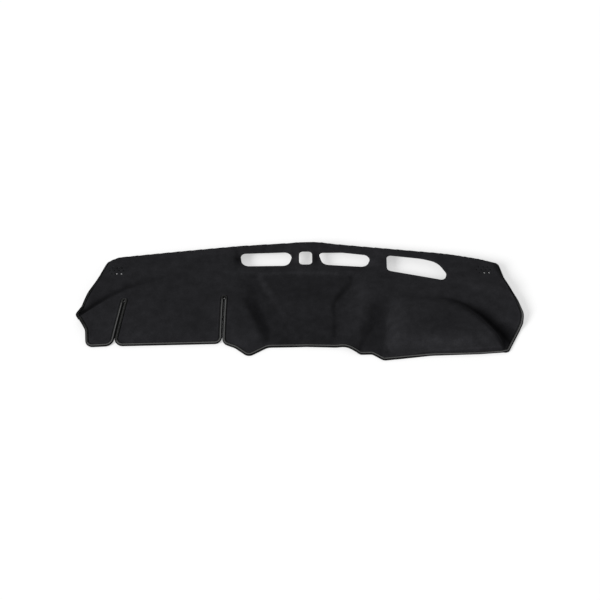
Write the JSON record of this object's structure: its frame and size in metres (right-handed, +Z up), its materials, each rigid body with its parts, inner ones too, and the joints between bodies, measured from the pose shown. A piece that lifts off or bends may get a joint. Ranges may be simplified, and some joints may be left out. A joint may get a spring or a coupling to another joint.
{
  "type": "dashboard cover mat",
  "caption": "Moulded felt cover for the top of a car dashboard, with a taped edge, openings for vents, sensor and display, slits in its front edge and small holes over the speakers.",
  "frame": {"origin": "on the surface that the mat rests on, under the middle of its bounding box", "axes": "+X across the car to the passenger's side, +Y forward to the windscreen, +Z up"},
  "size_m": [1.4156, 0.5044, 0.0481],
  "materials": {
    "felt": "matt moulded felt with a short nap",
    "tape": "woven edge tape, slightly smoother than the felt"
  },
  "bodies": {
    "root": {"felt_mat": "felt", "edge_binding": "tape"}
  },
  "joints": []
}
